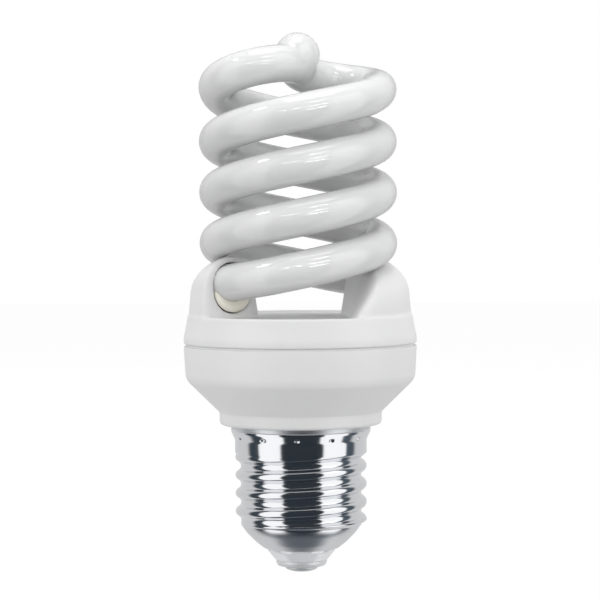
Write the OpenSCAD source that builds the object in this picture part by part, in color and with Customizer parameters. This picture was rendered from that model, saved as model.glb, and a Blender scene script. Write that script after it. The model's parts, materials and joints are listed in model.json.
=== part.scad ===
// Spiral compact fluorescent bulb with an E27 screw cap.
// Millimetres, +Z from the cap to the glass, origin at the tip of the centre contact.

/* [Screw cap] */
// Outer diameter of the plain band above the thread
band_d = 26.4; // [26.0:0.05:26.45]
// Rise of the thread in one turn
thread_pitch = 3.629; // [3.4:0.01:3.8]
// Depth of the rolled thread from crest to root
thread_depth = 1.1; // [0.8:0.05:1.2]
// Thickness of the cap's sheet metal
sheet_t = 0.3; // [0.2:0.05:0.35]
// Diameter of the flared rim
rim_d = 28.0; // [27.6:0.1:28.6]
// Diameter of the opening that the insulator fills
cone_mouth_d = 14.8; // [14:0.1:15.6]

/* [Centre contact] */
// Diameter of the pressed contact disc
contact_d = 10.2; // [9.6:0.1:10.4]
// Diameter of the solder on the tip
solder_d = 6.4; // [5:0.1:7]
// Diameter of the hole for the live wire
wire_hole_d = 1.6; // [1.4:0.1:2]

/* [Housing] */
// Largest diameter of the housing
body_d = 46.6; // [44:0.1:50]
// Diameter of the collar above the cap
collar_d = 32.5; // [31:0.1:34]
// Height of the lower housing from its collar to the parting line
bowl_h = 16.2; // [15:0.1:18]
// Rise of the deck's rim above the parting line
deck_rise = 5.7; // [5.3:0.1:6.5]
// Depth of the deck below its rim
deck_recess = 0.4; // [0.2:0.1:0.6]
// Wall thickness of the housing
wall = 1.3; // [1.1:0.05:1.5]
// Rise of the shoulders above the parting line
shoulder_rise = 15.95; // [15.3:0.05:16.1]

/* [Discharge tube] */
// Diameter of the glass tube
tube_d = 7.4; // [6.8:0.1:7.5]
// From the coil's outside in to the housing's outline
coil_inset = 3.55; // [3.2:0.05:4]
// Rise of one strand in one turn
helix_pitch = 20.26; // [19.9:0.02:20.4]
// Rise of the lowest free lobe above the parting line
lobe_rise = 20; // [19.8:0.1:21]
// Radius of the cold-spot knob
knob_r = 4.5; // [4:0.1:5]

/* [Circuit board] */
// From the board's edge out to the housing's outline
board_inset = 2.7; // [2.6:0.1:4]
// Thickness of the circuit board
board_t = 1.6; // [1.2:0.1:1.8]
// Diameter of the bulk capacitor
bulk_d = 10; // [8:0.5:10]
// Length of the bulk capacitor
bulk_len = 20; // [16:0.5:20]

/* [Hidden] */
$fn = 64;

eps = 0.01;
fit = 0.1;
// Bends of a round wire are this much fuller than the wire
wire_bend = 1.04;

// Cap heights and radii
band_r = band_d / 2;
crest_r = band_r - 0.05;
root_r = crest_r - thread_depth;
cone_z0 = 4.7;
cone_z1 = 9.5;
cone_bulge = 0.33;
cone_steps = 5;
cone_r0 = cone_mouth_d / 2;
thread_z0 = cone_z1;
thread_z1 = 24;
crest_z = 17.5;
fade = 0.9;
band_fade_z = 22.7;
band_fade = 1.2;
band_z1 = 26.3;
flare_z = 28.1;
rim_z = 28.6;
rim_r = rim_d / 2;
thread_cols = 40;
// The ends of the rolled thread lie inside the faces that they join
tuck_out = 0.03;
tuck_in = 0.12;
rows_per_turn = 8;
neck_z0 = 24.2;
neck_r = band_r - sheet_t - fit;

// Contact
contact_r = contact_d / 2;
contact_z0 = 0.9;
contact_z1 = 2.3;
solder_r = solder_d / 2;

// Housing
body_r = body_d / 2;
collar_r = collar_d / 2;
collar_z0 = 29.5;
collar_z1 = 31.8;
parting_z = collar_z0 + bowl_h;
deck_rim_z = parting_z + deck_rise;
deck_z = deck_rim_z - deck_recess;
spigot_len = 2.1;
groove = 0.45;

// Shoulders, the left one; the right one is the same turned by half a turn
shoulder_tilt = 12.5;
shoulder_top_z = parting_z + shoulder_rise;
dome_edge = 1.1;
dome_a = 7;
dome_rc = body_r - dome_edge - dome_a;
dome_zc = deck_z + 3.3;
entry_at = 212.9;
entry_from_edge = 1.03;
entry_turn = 30.2;
entry_draft = 2;
inner_at = 216;
inner_from_coil = 1.97;
inner_turn = 95.5;
inner_draft = 9;

// Tube
tube_r = tube_d / 2;
tube_sides = 16;
helix_r = body_r - tube_r - coil_inset;
helix_lean = atan(helix_pitch / (2 * PI * helix_r));
lobe_z = parting_z + lobe_rise;
turn_start = 172;
turn_top = 870;
step_deg = 15;
// The tube's tails lie a little higher than the helix would
tail_turn = 252;
tail_span = 45;
tail_rise = 0.6;
// The bridge runs downhill through the axis, from the front strand to the back one
bridge_rise = 6.2;
bridge_slope = 8;
front_pull = 7.5;
back_pull = 9.5;
top_rings = 10;
knob_lift = 1.9;
knob_y = -2.6;
cement_turn = 211;
cement_len = 2.4;
hole_r = tube_r + 0.4;
hole_drop = 1.7;

// Board and the parts on it, which are drawn for a board of drawn_board_r and scale with it
board_r = body_r - board_inset;
drawn_board_r = 20.6;
spread = board_r / drawn_board_r;
board_z1 = parting_z - spigot_len - 0.3;
board_z0 = board_z1 - board_t;
lead_r = 0.3;
bulk_x = 5;
bulk_y = 2.5;
bulk_pins = 5;
bulk_z1 = board_z0 - 4.6;
fuse_x = -1;
fuse_y = -8.8;
fuse_r = 1.5;
fuse_len = 8;
fuse_z0 = thread_z1 + 1;
live_r = 0.5;
neutral_x = -7.5;
neutral_y = 7.5;
neutral_z = thread_z1 - 0.8;
neutral_reach = root_r + 0.15;
neutral_wire_r = 0.4;
pin_x = 13.5 * spread;
pin_y = 9 * spread;
pin_gap = 4 * spread;
pin_w = 0.9;
pin_h = 4.6;
filament_r = 0.2;

// Choke: an E core pair round a bobbin, below the board
choke_x = -7.6;
choke_y = -2.6;
choke_w = 12;
choke_d = 5;
choke_h = 0.7 * (board_z0 - collar_z1);
choke_z0 = -0.3 - choke_h;
leg = choke_w * 0.1833;
middle_leg_r = 1.6;
bobbin_r = choke_w / 2 - leg - 2 * fit;

// Drive transformer
toroid_x = 6.8;
toroid_y = -9.6;
toroid_r = 3.4;
toroid_w = 1.6;
toroid_h = 3.6;
toroid_z0 = -0.9 - toroid_h;
winding_t = 0.5;

// Transistors and axial parts
transistor_x = 14.2;
transistor_y = [-3, 4];
transistor_r = 2.3;
transistor_h = 4.4;
axial_lead_r = 0.28;
diode_y = [-6.5, -3, 0.5, 4];
resistor_places = [[7, -14], [-7, 14], [8, 0], [-4, -12.5]];

// Points of an arc from p to q that bulges to the left of the way by sag
function arc_points(p, q, sag, n) =
    let (d = q - p, s = [-d[1], d[0]] / norm(d))
    [for (i = [0 : n]) let (u = i / n) p + d * u + s * sag * 4 * u * (1 - u)];

// Radius of the rolled sheet's outside at height z and angle a
function thread_phase(z, a) = (z - crest_z) / thread_pitch - a / 360;
function smooth(u) = let (v = max(0, min(1, u))) v * v * (3 - 2 * v);
function thread_r(z, a) =
    let (wave = 0.5 + 0.5 * cos(360 * thread_phase(z, a)))
    let (low = wave * smooth((z - thread_z0) / fade))
    root_r + thread_depth * max(low, smooth((z - band_fade_z) / band_fade));

// Centreline of the glass tube
function helix_z(a) = lobe_z + helix_pitch * (a - 360) / 360
    + tail_rise * smooth((tail_turn - a) / tail_span);
function helix_point(a) = [helix_r * cos(a), helix_r * sin(a), helix_z(a)];
top_way = helix_r * (900 - turn_top) * PI / 180;
top_len = top_way + helix_r * PI / 2;
top_z = helix_z(turn_top) + bridge_rise;
function hermite(t, a, b, pull, slope) =
    (2 * pow(t, 3) - 3 * pow(t, 2) + 1) * a + (pow(t, 3) - 2 * pow(t, 2) + t) * pull
    + (3 * pow(t, 2) - 2 * pow(t, 3)) * b + (pow(t, 3) - pow(t, 2)) * slope;
function top_point(s, pull, slope) =
    let (z = hermite(s / top_len, helix_z(turn_top), top_z, pull, slope))
    s < top_way
    ? let (a = turn_top + s / helix_r * 180 / PI) [helix_r * cos(a), helix_r * sin(a), z]
    : let (p = (s - top_way) / (helix_r / 2) * 180 / PI)
      [-helix_r / 2 * (1 + cos(p)), -helix_r / 2 * sin(p), z];
function half_turn(p) = [-p[0], -p[1], p[2]];
function strand(pull, slope) = concat(
    [for (a = [turn_start : step_deg : turn_top - 1]) helix_point(a)],
    [for (i = [0 : top_rings - 1]) top_point(top_len * i / top_rings, pull, slope)]);
front_strand = strand(front_pull, -bridge_slope);
back_strand = strand(back_pull, bridge_slope);
centreline = concat(front_strand, [[0, 0, top_z]],
    [for (i = [len(back_strand) - 1 : -1 : 0]) half_turn(back_strand[i])]);

function unit(v) = v / norm(v);
function way(path, i) =
    unit(path[min(i + 1, len(path) - 1)] - path[max(i - 1, 0)]);
function ring(c, t, r, n) =
    let (u = unit(cross([0, 0, 1], t)), v = cross(t, u))
    [for (k = [0 : n - 1]) c + r * (cos(360 * k / n) * u + sin(360 * k / n) * v)];

// Tube of radius r along path, its ends drawn in to rounded tips
module swept_tube(path, r, n) {
    last = len(path) - 1;
    t0 = way(path, 0);
    t1 = way(path, last);
    head = [for (b = [60, 30]) ring(path[0] - t0 * r * sin(b), t0, r * cos(b), n)];
    body = [for (i = [0 : last]) ring(path[i], way(path, i), r, n)];
    tail = [for (b = [30, 60]) ring(path[last] + t1 * r * sin(b), t1, r * cos(b), n)];
    rings = concat(head, body, tail);
    m = len(rings);
    points = concat([for (q = rings) each q], [path[0] - t0 * r, path[last] + t1 * r]);
    sides = [for (j = [0 : m - 2], k = [0 : n - 1])
        let (a = j * n + k, b = j * n + (k + 1) % n) each [[a, a + n, b], [b, a + n, b + n]]];
    caps = [for (k = [0 : n - 1]) let (k1 = (k + 1) % n)
        each [[m * n, k, k1], [m * n + 1, (m - 1) * n + k1, (m - 1) * n + k]]];
    polyhedron(points, concat(sides, caps), convexity = 10);
}

module discharge_tube() {
    color("white") union() {
        swept_tube(centreline, tube_r, tube_sides);
        translate([0, knob_y, top_z + knob_r - tube_r + knob_lift]) sphere(r = knob_r, $fn = 24);
    }
}

// Local frame on the left tube end where it passes the entry face
module at_entry() {
    p = helix_point(cement_turn);
    translate(p) rotate([0, 0, cement_turn + 180]) rotate([90 - helix_lean, 0, 0]) children();
}

module entry_hole(r, len) {
    at_entry() linear_extrude(len, center = true) union() {
        circle(r);
        translate([-r, -hole_drop]) square([2 * r, hole_drop]);
        translate([0, -hole_drop]) circle(r);
    }
}

module tube_cement() {
    color("antiquewhite") difference() {
        entry_hole(hole_r - fit, cement_len);
        at_entry() cylinder(r = tube_r + 1.5 * fit, h = 4 * cement_len, center = true);
    }
}

module tube_cement_left() tube_cement();
module tube_cement_right() rotate(180) tube_cement();

// Block with one leaning side, open on the far side, through a point at radius r and angle at
module side_block(r, at, turn, draft, inset) {
    translate([r * cos(at), r * sin(at), deck_z]) rotate(turn) rotate([-draft, 0, 0])
        translate([-60, inset, -20]) cube([120, 60, 60]);
}

module shoulder_dome(inset) {
    steps = 10;
    a = dome_a - inset;
    b = shoulder_top_z - dome_zc - inset;
    profile = concat([[0, dome_zc - 12], [dome_rc + a + 3, dome_zc - 12]],
        [for (i = [0 : steps]) [dome_rc + a * cos(90 * i / steps), dome_zc + b * sin(90 * i / steps)]],
        [[0, dome_zc + b]]);
    translate([0, 0, dome_zc]) rotate([-shoulder_tilt, 0, 0]) translate([0, 0, -dome_zc])
        rotate_extrude() polygon(profile);
}

module shoulder_wall(inset) {
    r1 = body_r - 0.9 - inset;
    r2 = body_r - 1.3 - inset;
    translate([0, 0, deck_z - 4]) cylinder(r1 = r1, r2 = r1, h = 4);
    translate([0, 0, deck_z - eps]) cylinder(r1 = r1, r2 = r2, h = 14);
}

module shoulder_form(inset) {
    intersection() {
        shoulder_dome(inset);
        shoulder_wall(inset);
        side_block(body_r - entry_from_edge, entry_at, entry_turn, entry_draft, inset);
        side_block(helix_r - tube_r - inner_from_coil, inner_at, inner_turn, inner_draft, inset);
    }
}

module shoulder_solid() {
    intersection() {
        shoulder_form(0);
        translate([0, 0, deck_z - wall]) cylinder(r = body_r, h = 20);
    }
}

module upper_skirt() {
    outer = [[body_r, parting_z], [body_r, parting_z + 1.3], [body_r - 0.2, parting_z + 2.4],
        [body_r - 0.6, parting_z + 4.2], [body_r - 0.8, deck_rim_z - 0.3], [body_r - 1.1, deck_rim_z]];
    inner = [[body_r - 2, deck_rim_z], [body_r - 2.1, deck_z], [0, deck_z], [0, deck_z - wall],
        [body_r - wall - 1.4, deck_z - wall], [body_r - wall - 1, deck_z - wall - 0.6],
        [body_r - wall - 1, parting_z]];
    rotate_extrude($fn = 128) polygon(concat(outer, inner));
}

module spigot() {
    r = body_r - wall - 0.15;
    translate([0, 0, parting_z - spigot_len]) difference() {
        cylinder(r = r, h = spigot_len + 2, $fn = 128);
        translate([0, 0, -1]) cylinder(r = r - 1, h = spigot_len + 4, $fn = 128);
    }
}

module upper_housing() {
    color("white") difference() {
        union() {
            upper_skirt();
            spigot();
            for (t = [0, 180]) rotate(t) shoulder_solid();
        }
        for (t = [0, 180]) rotate(t) shoulder_form(wall);
        for (t = [0, 180]) rotate(t) entry_hole(hole_r, 8);
    }
}

// Height in the bowl as a share of the way from the collar to the parting line
function bowl_z(u) = collar_z1 + u * (parting_z - collar_z1);

module lower_housing() {
    edge = 0.8;
    outer = concat(
        [[neck_r - 0.3, neck_z0], [neck_r, neck_z0 + 0.3], [neck_r, band_z1],
            [rim_r - sheet_t - fit, flare_z + 0.1], [rim_r - sheet_t - fit, rim_z + fit],
            [rim_r - fit, rim_z + fit], [rim_r - fit, collar_z0],
            [collar_r - edge, collar_z0], [collar_r - 0.23, collar_z0 + 0.23],
            [collar_r, collar_z0 + edge], [collar_r, collar_z1 - 0.2], [collar_r + 0.1, collar_z1]],
        arc_points([body_r - 2.2, bowl_z(0.317)], [body_r - 0.4, bowl_z(0.511)], -0.45, 6),
        [[body_r - 0.2, bowl_z(0.727)], [body_r, parting_z - groove], [body_r - groove, parting_z - groove],
            [body_r - groove, parting_z]]);
    inner = [[body_r - wall, parting_z], [body_r - wall, bowl_z(0.604)],
        [body_r - wall - 1.4, bowl_z(0.367)], [collar_r - wall + 0.4, collar_z1 + 0.6],
        [neck_r - wall, collar_z1 - 0.6], [neck_r - wall, neck_z0]];
    rib_r = body_r - wall + 0.4;
    rib_z0 = bowl_z(0.331);
    color("white") union() {
        rotate_extrude($fn = 128) polygon(concat(outer, inner));
        for (t = [20, 110, 200, 290]) rotate(t) intersection() {
            translate([board_r - 2.2, -0.6, rib_z0]) cube([4, 1.2, board_z0 - rib_z0]);
            translate([0, 0, bowl_z(0.41)]) cylinder(r = rib_r, h = 10);
        }
    }
}

// Rolled thread as one sheet that is a grid of points round and up
module rolled_thread() {
    span = thread_z1 - thread_z0;
    rows = ceil(span / thread_pitch * rows_per_turn);
    n = thread_cols;
    heights = [for (j = [0 : rows]) thread_z0 + span * j / rows];
    tuck = [for (j = [0 : rows]) (j == 0 || j == rows) ? 1 : 0];
    outer = [for (j = [0 : rows], k = [0 : n - 1]) let (a = 360 * k / n, r = thread_r(heights[j], a) - tuck_out * tuck[j])
        [r * cos(a), r * sin(a), heights[j]]];
    inner = [for (j = [0 : rows], k = [0 : n - 1])
        let (a = 360 * k / n, r = thread_r(heights[j], a) - sheet_t + tuck_in * tuck[j])
        [r * cos(a), r * sin(a), heights[j]]];
    off = (rows + 1) * n;
    walls = [for (j = [0 : rows - 1], k = [0 : n - 1])
        let (a = j * n + k, b = j * n + (k + 1) % n)
        each [[a, a + n, b], [b, a + n, b + n],
            [off + a, off + b, off + a + n], [off + b, off + b + n, off + a + n]]];
    top = rows * n;
    ends = [for (k = [0 : n - 1]) let (k1 = (k + 1) % n)
        each [[k, k1, off + k], [k1, off + k1, off + k],
            [top + k, off + top + k, top + k1], [top + k1, off + top + k, off + top + k1]]];
    polyhedron(concat(outer, inner), concat(walls, ends), convexity = 10);
}

module screw_cap_shell() {
    s = sheet_t;
    low = arc_points([cone_r0, cone_z0], [root_r, cone_z1], -cone_bulge, cone_steps);
    low_in = [for (i = [cone_steps - 1 : -1 : 0]) low[i] + [-s * 0.75, s * 0.66]];
    high = [[band_r, thread_z1], [band_r, band_z1], [rim_r, flare_z], [rim_r, rim_z],
        [rim_r - s, rim_z], [rim_r - s, flare_z + 0.1], [band_r - s, band_z1 + 0.1],
        [band_r - s, thread_z1]];
    color("silver") union() {
        rotate_extrude($fn = 128) polygon(concat([[cone_r0 - s, cone_z0]], low, [[root_r - s, cone_z1]], low_in));
        rotate_extrude($fn = 128) polygon(high);
        rolled_thread();
    }
}

module cap_insulator() {
    hole = wire_hole_d / 2 + 1.2;
    color("whitesmoke") rotate_extrude($fn = 96) polygon([
        [hole, contact_z1], [contact_r + 0.1, contact_z1], [6.8, 4.1], [cone_r0 - sheet_t - fit, cone_z0 - 0.2],
        [cone_r0 - sheet_t - fit, cone_z0 + 0.5], [9.2, 7], [9.2, 8.4], [hole, 8.4]]);
}

module centre_contact() {
    stem = wire_hole_d / 2 + 1.1;
    color("lightgray") difference() {
        rotate_extrude() polygon([[0, contact_z0], [3.9, contact_z0], [4.7, 1.1], [5, 1.45],
            [contact_r, 1.8], [contact_r, contact_z1], [stem, contact_z1], [stem, 9], [0, 9]]);
        translate([0, 0, -1]) cylinder(d = wire_hole_d, h = 12);
    }
}

module contact_solder() {
    color("silver") rotate_extrude() polygon([[0, 0], [2.2, 0], [2.8, 0.12],
        [solder_r, 0.4], [solder_r + 0.1, contact_z0], [0, contact_z0]]);
}

module circuit_board() {
    color("darkgreen") difference() {
        translate([0, 0, board_z0]) cylinder(r = board_r, h = board_t, $fn = 128);
        for (g = [-0.5, 0.5]) translate([bulk_x + g * bulk_pins, bulk_y, board_z0 - 1])
            cylinder(r = lead_r + fit, h = board_t + 2);
        for (sx = [-1, 1], g = [-0.5, 0.5]) translate([sx * pin_x + g * pin_gap, sx * pin_y, board_z0 - 1])
            cylinder(d = pin_w + 0.6, h = board_t + 2);
    }
}

module bulk_capacitor() {
    color("black") union() {
        translate([bulk_x, bulk_y, bulk_z1 - bulk_len]) rotate_extrude() polygon([[0, 0], [bulk_d / 2 - 0.5, 0],
            [bulk_d / 2, 0.5], [bulk_d / 2, bulk_len - 2.6], [bulk_d / 2 - 0.4, bulk_len - 2.2],
            [bulk_d / 2 - 0.4, bulk_len - 1.8], [bulk_d / 2, bulk_len - 1.4],
            [bulk_d / 2, bulk_len - 0.3], [bulk_d / 2 - 0.3, bulk_len], [0, bulk_len]]);
        for (g = [-0.5, 0.5]) translate([bulk_x + g * bulk_pins, bulk_y, bulk_z1 - 0.5])
            cylinder(r = lead_r, h = board_z1 - bulk_z1 + 1.3);
    }
}

// Moves to the board's underside, or to its top, at the board's scale
module under_board() translate([0, 0, board_z0]) scale(spread) children();
module on_board() translate([0, 0, board_z1]) scale(spread) children();

module choke_core() {
    color("dimgray") under_board() translate([choke_x, choke_y, choke_z0]) {
        for (z = [0, choke_h - leg]) translate([-choke_w / 2, -choke_d / 2, z]) cube([choke_w, choke_d, leg]);
        for (x = [-choke_w / 2, choke_w / 2 - leg]) translate([x, -choke_d / 2, 0]) cube([leg, choke_d, choke_h]);
        cylinder(r = middle_leg_r, h = choke_h);
    }
}

module choke_bobbin() {
    h = choke_h - 2 * leg - fit;
    flange_t = 0.4;
    color("ivory") under_board() translate([choke_x, choke_y, choke_z0 + leg + fit / 2]) difference() {
        union() {
            cylinder(r = middle_leg_r + 0.5, h = h);
            for (z = [0, h - flange_t]) translate([0, 0, z]) cylinder(r = bobbin_r, h = flange_t);
        }
        translate([0, 0, -1]) cylinder(r = middle_leg_r + fit, h = h + 2);
    }
}

module choke_winding() {
    h = choke_h - 2 * leg - 1;
    color("chocolate") under_board() translate([choke_x, choke_y, choke_z0 + leg + 0.5]) difference() {
        cylinder(r = bobbin_r - fit, h = h);
        translate([0, 0, -1]) cylinder(r = middle_leg_r + 0.55, h = h + 2);
    }
}

module drive_toroid() {
    color("darkslategray") under_board() translate([toroid_x, toroid_y, toroid_z0]) rotate_extrude()
        translate([toroid_r - toroid_w / 2, 0]) square([toroid_w, toroid_h]);
}

module toroid_windings() {
    w = toroid_w + 1.1;
    h = toroid_h + 1.1;
    color("firebrick") under_board() translate([toroid_x, toroid_y, toroid_z0 + toroid_h / 2])
        for (a = [0 : 120 : 240], b = [0, 22]) rotate(a + b) translate([toroid_r, 0, 0]) difference() {
            cube([w, winding_t, h], center = true);
            cube([w - 2 * winding_t, 1, h - 2 * winding_t], center = true);
        }
}

module transistor(y) {
    pitch = 1.27;
    h = transistor_h;
    color("black") under_board() translate([transistor_x, y, -0.6 - h]) union() {
        intersection() {
            cylinder(r = transistor_r, h = h);
            translate([-1.3, -3, 0]) cube([4, 6, h]);
        }
        for (g = [-pitch, 0, pitch]) translate([0, g, h - 0.2]) cylinder(r = 0.22, h = 0.8);
    }
}

module transistor_a() transistor(transistor_y[0]);
module transistor_b() transistor(transistor_y[1]);

// Film capacitor with its middle at p and its size s
module boxed_capacitor(p, s) {
    color("indianred") under_board() translate([p[0] - s[0] / 2, p[1] - s[1] / 2, -0.4 - s[2]]) union() {
        cube(s);
        for (g = [0.2, 0.8]) translate([s[0] * g, s[1] / 2, s[2] - 0.2]) cylinder(r = lead_r, h = 0.6);
    }
}

module resonance_capacitor() boxed_capacitor([-4, 11.2], [9, 4.6, 5.6]);
module start_capacitor() boxed_capacitor([9, 12.2], [6, 3.4, 4.6]);

// Axial part that lies on the board with its two leads bent down
module axial(p, r, len) {
    rise = r + 0.15;
    on_board() translate([p[0], p[1], rise]) union() {
        rotate([0, 90, 0]) cylinder(r = r, h = len, center = true);
        rotate([0, 90, 0]) cylinder(r = axial_lead_r, h = len + 3, center = true);
        for (s = [-1, 1]) translate([s * (len / 2 + 1.4), 0, -rise]) cylinder(r = axial_lead_r, h = rise);
    }
}

module rectifier_diodes() color("black") for (y = diode_y) axial([-1, y], 1.3, 4.6);
module resistors() color("tan") for (p = resistor_places) axial(p, 1.1, 6);
module trigger_diac() color("steelblue") axial([7, 5], 0.9, 3.8);

module fuse_resistor() {
    color("seagreen") translate([fuse_x, fuse_y, fuse_z0]) union() {
        cylinder(r = fuse_r, h = fuse_len);
        translate([0, 0, fuse_len - 0.2]) cylinder(r = lead_r, h = board_z0 - fuse_z0 - fuse_len + 0.2);
        translate([0, 0, -3]) cylinder(r = lead_r, h = 3.2);
    }
}

module pin_pair() {
    for (g = [-0.5, 0.5]) translate([pin_x + g * pin_gap - pin_w / 2, pin_y - pin_w / 2, board_z1])
        cube([pin_w, pin_w, pin_h]);
}

module wrap_pins() color("gold") for (t = [0, 180]) rotate(t) pin_pair();

// Round wire through the points of a path
module wire(path, r) {
    for (i = [0 : len(path) - 2]) {
        d = path[i + 1] - path[i];
        translate(path[i]) rotate([0, acos(d[2] / norm(d)), atan2(d[1], d[0])]) cylinder(r = r, h = norm(d), $fn = 24);
    }
    for (i = [1 : len(path) - 2]) translate(path[i]) sphere(r = r * wire_bend, $fn = 24);
}

module tube_end_leads() {
    p = half_turn(helix_point(turn_start));
    for (g = [-0.5, 0.5]) wire([[p[0] + g * 3, p[1] + g, p[2] - tube_r - 0.4],
        [pin_x + g * pin_gap, pin_y - pin_w / 2 - 0.35, board_z1 + pin_h - 1],
        [pin_x + g * pin_gap, pin_y - pin_w / 2 - 0.35, board_z1 + 0.6]], filament_r);
}

module filament_leads() color("silver") for (t = [0, 180]) rotate(t) tube_end_leads();

module live_wire() {
    color("red") wire([[fuse_x, fuse_y, fuse_z0 - 3.2], [fuse_x, fuse_y, fuse_z0 - 6],
        [0, -2, cone_z1 + 2.5], [0, 0, cone_z1 + 0.3], [0, 0, contact_z0 + 0.05]], live_r);
}

module neutral_wire() {
    out = neutral_reach / norm([neutral_x, neutral_y]);
    color("black") wire([[neutral_x, neutral_y, board_z0], [neutral_x, neutral_y, neutral_z],
        [neutral_x * out, neutral_y * out, neutral_z]], neutral_wire_r);
}

discharge_tube();
tube_cement_left();
tube_cement_right();
upper_housing();
lower_housing();
screw_cap_shell();
cap_insulator();
centre_contact();
contact_solder();
circuit_board();
bulk_capacitor();
choke_core();
choke_bobbin();
choke_winding();
drive_toroid();
toroid_windings();
transistor_a();
transistor_b();
resonance_capacitor();
start_capacitor();
rectifier_diodes();
resistors();
trigger_diac();
fuse_resistor();
wrap_pins();
filament_leads();
live_wire();
neutral_wire();
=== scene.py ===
"""Looks of a spiral compact fluorescent bulb with an E27 screw cap.

Sizes are in millimetres until a mesh is made. The bulb stands on its axis, +Z towards the glass.
"""

import json
import math

import bpy
import numpy as np
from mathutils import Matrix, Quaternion, Vector

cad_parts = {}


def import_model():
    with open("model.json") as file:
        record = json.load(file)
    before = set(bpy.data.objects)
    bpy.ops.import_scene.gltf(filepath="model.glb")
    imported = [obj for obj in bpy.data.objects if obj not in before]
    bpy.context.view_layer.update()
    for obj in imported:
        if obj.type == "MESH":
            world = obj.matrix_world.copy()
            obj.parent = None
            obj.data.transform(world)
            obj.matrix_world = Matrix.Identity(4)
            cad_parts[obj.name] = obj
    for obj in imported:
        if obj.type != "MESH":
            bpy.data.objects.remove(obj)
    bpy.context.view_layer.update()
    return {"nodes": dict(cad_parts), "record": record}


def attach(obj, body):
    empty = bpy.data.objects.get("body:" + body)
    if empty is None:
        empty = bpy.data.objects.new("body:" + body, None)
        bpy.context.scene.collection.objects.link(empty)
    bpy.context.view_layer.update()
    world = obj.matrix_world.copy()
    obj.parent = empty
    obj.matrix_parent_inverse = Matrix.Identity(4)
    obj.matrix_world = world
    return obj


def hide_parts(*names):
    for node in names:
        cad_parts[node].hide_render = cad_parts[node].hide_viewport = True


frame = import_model()
MM = 0.001
TAU = 2 * math.pi

# Glass tube
TUBE_R = 3.7
HELIX_R = 16.05
HELIX_PITCH = 20.26
LOBE_Z = 65.7
TURN_START = 172.0
TURN_TOP = 870.0
TAIL_TURN = 252.0
TAIL_SPAN = 45.0
TAIL_RISE = 0.6
TOP_Z = 100.6
BRIDGE_SLOPE = 8.0
FRONT_PULL = 7.5
BACK_PULL = 9.5
KNOB_R = 4.5
KNOB_Y = -2.6
COIL_X = -0.25
KNOB_Z = 103.0
TUBE_SIDES = 36
RING_STEP = 0.55

# Housing
BODY_R = 23.3
COLLAR_R = 16.25
PARTING_Z = 45.7
DECK_RIM_Z = 51.4
DECK_Z = 51.0
WALL = 1.3

# Shoulders, the left one; the right one is the same turned by half a turn
SHOULDER_TOP_Z = 61.65
SHOULDER_TILT = math.radians(12.5)
DOME_RC = 15.2
DOME_ZC = 54.3
DOME_A = BODY_R - 1.1 - DOME_RC
ENTRY = (-18.7, -12.1, 30.2, 2.0)
INNER = (-8.0, -6.1, 95.5, 9.0)
INNER_LEAN = 0.62
INNER_WIND = 21.0
CEMENT_TURN = 211.0
HOLE_R = TUBE_R + 0.4
HOLE_DROP = 1.7
HOLE_SHIFT = 0.35
HOUSING_GRID = 0.3
COVER_REACH = 24.3
COVER_HEIGHT = 21.5
CEMENT_GRID = 0.14
CEMENT_REACH = 7.4

# Screw cap
BAND_R = 13.2
RIM_R = 14.0
CREST_R = 13.15
THREAD_DEPTH = 1.1
THREAD_PITCH = 3.629
CREST_Z = 17.5
SHEET = 0.3
CAP_COLUMNS = 288
# The thread's hidden inside has one row for this many outside
INNER_STEP = 3
DIMPLES = 12
DIMPLE_TURN = -3.5
DIMPLE_Z = 27.1
DIMPLE_R = 0.42
DIMPLE_DEPTH = 0.45

# Studio: brightness of the walls against the angle from the camera's side, positive to its right
WALLS = [(-180, 0.35), (-172, 0.70), (-108, 0.68), (-99, 0.06), (-80, 0.06), (-77, 1.15),
         (-37, 1.15), (-34, 0.037), (38, 0.037), (41, 1.15), (84, 1.15), (87, 0.10), (103, 0.10),
         (112, 0.68), (172, 0.70), (180, 0.35)]
# The same above and below the softboxes, and the colour straight below
FAR_WALLS = [(-180, 0.55), (-120, 0.80), (-80, 0.12), (-36, 0.05), (36, 0.05), (80, 0.12),
             (120, 0.85), (180, 0.55)]
UNDER_COLOR = (0.125, 0.14, 0.16, 1)
# Share of the upward part of a direction at which each of them begins and is whole
FAR_FROM, FAR_WHOLE = 0.74, 0.84
UNDER_FROM, UNDER_WHOLE = -0.90, -0.96
# Walls darker than this are bluish
DARK_LIMIT = 0.15
DARK_TINT = 0.22
EVEN_LIGHT = 0.77
FLOOR_SIZE = 3000
FLOOR_Z = -60
FLOOR_COLOR = (0.50, 0.50, 0.50)
FLOOR_WHITE = 1.05
FLOOR_WHITE_SHARE = 0.9
# How far below the world's centre the floor's own reflection is centred
FLOOR_DROP = 20

# Lamps: name, azimuth, elevation, distance, size and radiance
HIDDEN_BOXES = [("left_box", -57, 8, 1000, (760, 700), 1.15),
                ("right_box", 60, 8, 1000, (760, 700), 1.15)]
SOFT_LAMPS = [("key", 55, 38, 1500, (900, 900), 0.25), ("overhead", 0, 89.9, 1000, (560, 560), 2.6)]
BEHIND = ("behind", 180, 32, 1500, (1100, 800), 1.6)
# Thin lamps that show as white stripes on the glass
STRIPS = [("strip_right_0", 20, 11, 800, (340, 55), 8), ("strip_right_1", 20, 26, 800, (320, 55), 8),
          ("strip_right_2", 20, 50, 800, (230, 55), 8), ("strip_left_0", -19, 26, 800, (110, 50), 8),
          ("strip_left_1", -6, 26, 800, (110, 50), 8), ("strip_far_left", -79, 55, 800, (130, 110), 10)]
LAMP_AIM_Z = 55.0

# Camera
CAM_DISTANCE = 480.0
CAM_HEIGHT = 72.0
AIM_Z = 54.3
LENS = 144.0
CAM_ROLL = -0.35


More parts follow.
